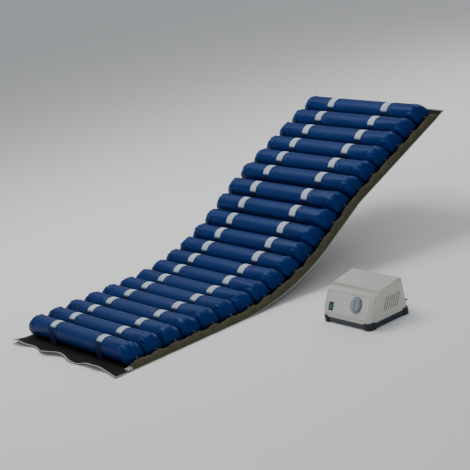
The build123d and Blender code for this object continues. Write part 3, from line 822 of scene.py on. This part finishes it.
def sleeve_run(k, start, stop):
    """The air-line sleeve: cloth gathered over the lines, rising from the sheet's right edge to the cells' ends.

    Across, an angle runs from the outer edge over the top and down on the inside. The height swells at each cell and
    sinks between cells, with finer gathers added as sines along the run that differ a little round the sleeve.
    """
    s = np.linspace(start, stop, max(30, int((stop - start) / 0.0025)))
    angle = np.linspace(0, np.pi, 25)
    phase = ((s - FOOT_S) / PITCH)[:, None]
    swell = 0.0255 + 0.0035 * np.cos(2 * np.pi * (phase - 0.5)) + 0.0018 * np.sin(2 * np.pi * phase * 1.37 + 0.6)
    inner, outer = SLEEVE_IN, SLEEVE_X[1] - 0.002
    mid, half = (inner + outer) / 2, (outer - inner) / 2
    turn = angle[None]
    coarse = np.sin(2 * np.pi * phase * 3.3 + 1.3 * np.sin(2 * turn))
    gather = coarse + 0.6 * np.sin(2 * np.pi * phase * 7.1 + 2.2 * turn)
    inside = np.minimum(s - SLEEVE_ENDS[0], SLEEVE_ENDS[1] - s)[:, None]
    swell = swell * (0.12 + 0.88 * np.sqrt(1 - (1 - np.clip(inside / 0.04, 0, 1)) ** 2))
    x = mid + half * np.cos(turn) * (1 - 0.05 * np.sin(turn)) + 0.0012 * gather * np.sin(turn) ** 2
    h = 0.0024 + swell * np.sin(turn) ** 0.75 + 0.0014 * gather * np.sin(turn)
    ss = np.broadcast_to(s[:, None], h.shape)
    grid = on_mattress(x, ss, h)
    uv = np.stack([ss, np.broadcast_to(turn * 0.02, ss.shape)], axis=-1)
    return grid_surface(f"line_sleeve_{k + 1}", grid, uv=uv, flip=True)


def sleeves():
    """The sleeve in the same runs as the sheet, from the first cell to the last."""
    for k, (start, stop) in enumerate(run_limits()):
        start = max(start, SLEEVE_ENDS[0])
        stop = min(stop, SLEEVE_ENDS[1])
        obj = sleeve_run(k, start, stop)
        add_modifier(obj, "SOLIDIFY", thickness=SLEEVE_THICK, offset=-1)
        finish_piece(obj, fold_bodies(k), "base_sheet", SLEEVE)


ELBOW_TURN = 0.008
ELBOW_R = 0.0034
COLLAR_R = 0.0052


def elbow(i):
    """The moulded elbow from a cell's end down into the sleeve: a short collar, a quarter turn and a straight leg."""
    turn = np.linspace(0, np.pi / 2, 14)
    collar = CELL_HALF - 0.004
    start = CELL_Z - END_DROP
    arc_x = CELL_HALF + 0.004 + ELBOW_TURN * np.sin(turn)
    arc_z = start - ELBOW_TURN * (1 - np.cos(turn))
    down = np.linspace(arc_z[-1], 0.012, 8)[1:]
    x = np.concatenate([[collar, collar + 0.006, collar + 0.0065], arc_x, np.full(7, arc_x[-1])])
    z = np.concatenate([[start, start, start], arc_z, down])
    path = np.stack([x, 0 * x, z], axis=-1)
    size = np.full(len(x), ELBOW_R)
    size[:2] = COLLAR_R
    place = np.array(cell_place(i))
    path = path @ place[:3, :3].T + place[:3, 3]
    obj = tube(f"air_elbow_{i:02d}", path, size)
    name = SECTIONS[section_of(i)][0]
    return finish_piece(obj, f"section_{name}", "clear_plastic", SMOKE)


# ---- Pump: CAD shapes with softened edges

def softened(node, width, body, slot, material, segments=3, angle=30):
    """A copy of a CAD node with its loose triangles joined, flat faces merged and its edges rounded."""
    source = frame["nodes"][node]
    mesh = source.data.copy()
    obj = bpy.data.objects.new(f"{node}_shell", mesh)
    bpy.context.collection.objects.link(obj)
    work = bmesh.new()
    work.from_mesh(mesh)
    bmesh.ops.remove_doubles(work, verts=work.verts, dist=2e-6)
    bmesh.ops.dissolve_limit(work, angle_limit=math.radians(1.0), verts=work.verts, edges=work.edges)
    work.to_mesh(mesh)
    work.free()
    mesh.polygons.foreach_set("use_smooth", [True] * len(mesh.polygons))
    values = dict(width=width, segments=segments, limit_method="ANGLE", angle_limit=math.radians(angle))
    add_modifier(obj, "BEVEL", harden_normals=True, use_clamp_overlap=True, **values)
    return finish_piece(obj, body, slot, material, node)


def paint(node, material):
    """Puts a material on a CAD node that keeps its own shape."""
    obj = frame["nodes"][node]
    obj.data.materials.clear()
    obj.data.materials.append(material)


def pump_looks():
    """Softened shells for what shows, and materials for every other CAD node."""
    softened("pump_top_cover", 0.0035, "pump", "case_abs", CASE)
    softened("pump_base_tray", 0.0015, "pump", "tray_abs", TRAY)
    softened("corner_bumpers", 0.0015, "pump", "rubber", RUBBER)
    softened("control_fascia", 0.0006, "pump", "label", LABEL, 2)
    softened("pressure_dial", 0.0012, "pressure_dial", "dial", DIAL)
    softened("power_rocker", 0.0008, "power_rocker", "rocker_green", GREEN)
    softened("rocker_frame", 0.0006, "pump", "black_plastic", BLACK, 2)
    softened("outlet_nozzles", 0.0006, "pump", "black_plastic", BLACK, 2)
    softened("cord_gland", 0.0008, "pump", "black_plastic", BLACK, 2)
    for side in ("left", "right"):
        softened(f"bed_hook_{side}", 0.0010, f"bed_hook_{side}", "tray_abs", TRAY, 2)
    copper = plastic_material("winding", (0.30, 0.10, 0.03), 0.3)
    iron = plastic_material("laminated_iron", (0.20, 0.20, 0.21), 0.4)
    iron.node_tree.nodes["Principled BSDF"].inputs["Metallic"].default_value = 1.0
    board = plastic_material("board_green", (0.02, 0.12, 0.05), 0.35)
    inner = dict(regulator_valve=BLACK, laminated_core=iron, drive_coil=copper, swing_arm_left=BLACK)
    inner.update(swing_arm_right=BLACK, bellows_pair=RUBBER, air_chambers=BLACK, valve_motor=iron)
    inner.update(valve_rotor=BLACK, circuit_board=board, hose_inlets=CLEAR)
    for node, material in inner.items():
        paint(node, material)


# ---- Pump: marks and fittings on the front panel

PUMP_AT = np.array(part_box("pump_base_tray")[0]) * [1, 1, 0]
PANEL_MIDDLE = PUMP_AT + [0.150, 0.026, 0.081]
PANEL_UP = np.array([0.0, 0.052, 0.094]) / math.hypot(0.052, 0.094)
PANEL_RIGHT = np.array([1.0, 0.0, 0.0])
PANEL_OUT = np.cross(PANEL_RIGHT, PANEL_UP)
DIAL_AT = (0.054, 0.010)
DIAL_TOP = 0.0030  # the dial plate's face above the panel
TICK_REACH = 0.0356
TICK_WIDTH = 0.0009
TICKS = 9
FIRST_TICK, TICK_SWEEP = 225, 270  # degrees, round clockwise


def on_panel(across, above, out):
    """World points on the front panel, from its middle."""
    across, above, out = np.broadcast_arrays(across, above, out)
    flat = across[..., None] * PANEL_RIGHT + above[..., None] * PANEL_UP
    return PANEL_MIDDLE + flat + out[..., None] * PANEL_OUT


def ring_band(name, centre, inner, outer, start, stop, low, high, material, slot="label"):
    """A flat band of a ring between two angles: inner and outer radius, with a top and rounded-over sides."""
    count = max(4, int(abs(stop - start) * outer / 0.0008))
    angle = np.linspace(start, stop, count)[:, None]
    radius = np.array([inner, inner, outer, outer])[None]
    out = np.array([low, high, high, low])[None]
    grid = on_panel(centre[0] + radius * np.cos(angle), centre[1] + radius * np.sin(angle), out)
    obj = grid_surface(name, grid)
    obj.data.polygons.foreach_set("use_smooth", [False] * len(obj.data.polygons))
    point_up(obj)
    return finish_piece(obj, "pump", slot, material)


def point_up(obj):
    """Turns an open piece's faces so that they look out of the front panel on the whole."""
    total = sum((Vector(face.normal) * face.area for face in obj.data.polygons), Vector())
    if total.dot(Vector(PANEL_OUT)) < 0:
        obj.data.flip_normals()


def panel_marks():
    """The dial's ring, the dark arc of its working range, and the pale ticks on them."""
    ring_band("dial_ring", DIAL_AT, 0.0298, 0.0362, 0, 2 * math.pi, DIAL_TOP, DIAL_TOP + 0.0004, DIAL_PLATE)
    ring_band("range_arc", DIAL_AT, 0.0306, 0.0358, -1.15, 0.95, DIAL_TOP + 0.0003, DIAL_TOP + 0.0007, MARK)
    for k in range(TICKS):
        turn = math.radians(FIRST_TICK - TICK_SWEEP * k / (TICKS - 1))
        length = 0.0046 if k % 4 == 0 else 0.0030
        wide = TICK_WIDTH / TICK_REACH
        name = f"dial_tick_{k + 1}"
        low, high = DIAL_TOP + 0.0006, DIAL_TOP + 0.0009
        inner = TICK_REACH - length
        ring_band(name, DIAL_AT, inner, TICK_REACH, turn - wide / 2, turn + wide / 2, low, high, LABEL)


# ---- Put together

for number in range(1, CELLS + 1):
    air_cell(number)
    elbow(number)
straps()
base_runs()
sleeves()
pump_looks()
panel_marks()


# ---- Stage, light and camera

def stage():
    """A pale floor and backdrop, one large sheet."""
    far, level = 40.0, -0.0008
    corners = np.array([[[-far, -far, level], [far, -far, level]], [[-far, far, level], [far, far, level]]])
    floor = grid_surface("floor", corners)
    material = new_material("floor_pale", Base_Color=(0.90, 0.90, 0.89), Roughness=0.8)[0]
    floor.data.materials.append(material)
    world = bpy.data.worlds.new("studio")
    world.use_nodes = True
    world.node_tree.nodes["Background"].inputs[0].default_value = (0.86, 0.90, 0.95, 1)
    world.node_tree.nodes["Background"].inputs[1].default_value = 0.42
    bpy.context.scene.world = world


def soft_light(name, place, target, size, power):
    """A square area light aimed at a point."""
    lamp = bpy.data.lights.new(name, "AREA")
    lamp.size = size
    lamp.energy = power
    obj = bpy.data.objects.new(name, lamp)
    obj.location = place
    obj.rotation_mode = "QUATERNION"
    obj.rotation_quaternion = (Vector(target) - Vector(place)).to_track_quat("-Z", "Y")
    bpy.context.collection.objects.link(obj)


def lights():
    """A broad key from above the foot end, a fill from the pump's side and a low light behind the head."""
    middle = (0.1, 0.4, 0.2)
    soft_light("key", (-1.6, 0.2, 3.6), middle, 2.6, 95)
    soft_light("fill", (3.8, -2.8, 2.2), middle, 2.5, 35)
    soft_light("back", (-1.0, 4.2, 2.6), middle, 2.0, 40)


AZIMUTH, ELEVATION, ROLL = math.radians(57.2), math.radians(16.3), math.radians(12.6)
DISTANCE = 7.8
FILL = 0.93  # share of the frame that the object's box takes
SENSOR = 36.0


def camera():
    """A long lens at the viewing angle and tilt, aimed and zoomed so that the object's outline fills the frame."""
    out = math.cos(ELEVATION)
    back = np.array([math.sin(AZIMUTH) * out, -math.cos(AZIMUTH) * out, math.sin(ELEVATION)])
    level = np.array([math.cos(AZIMUTH), math.sin(AZIMUTH), 0])
    rise = np.cross(back, level)
    right = math.cos(ROLL) * level - math.sin(ROLL) * rise
    up = math.sin(ROLL) * level + math.cos(ROLL) * rise
    corners = []
    for node in frame["nodes"]:
        low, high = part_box(node)
        for x in (low[0], high[0]):
            for y in (low[1], high[1]):
                for z in (low[2], high[2]):
                    corners.append((x, y, z))
    corners = np.array(corners)
    target = corners.mean(axis=0)
    for _ in range(3):
        eye = target + back * DISTANCE
        away = (eye - corners) @ back
        across, above = (corners - eye) @ right / away, (corners - eye) @ up / away
        shift = (across.max() + across.min()) / 2 * right + (above.max() + above.min()) / 2 * up
        target = target + shift * DISTANCE
    spread = max(np.ptp(across), np.ptp(above))
    data = bpy.data.cameras.new("camera")
    data.sensor_width = SENSOR
    data.lens = SENSOR * FILL / spread
    data.clip_end = 100.0
    obj = bpy.data.objects.new("camera", data)
    turn = Matrix((right, up, back)).transposed().to_4x4()
    obj.matrix_world = Matrix.Translation(Vector(target + back * DISTANCE)) @ turn
    bpy.context.collection.objects.link(obj)
    bpy.context.scene.camera = obj


stage()
lights()
camera()
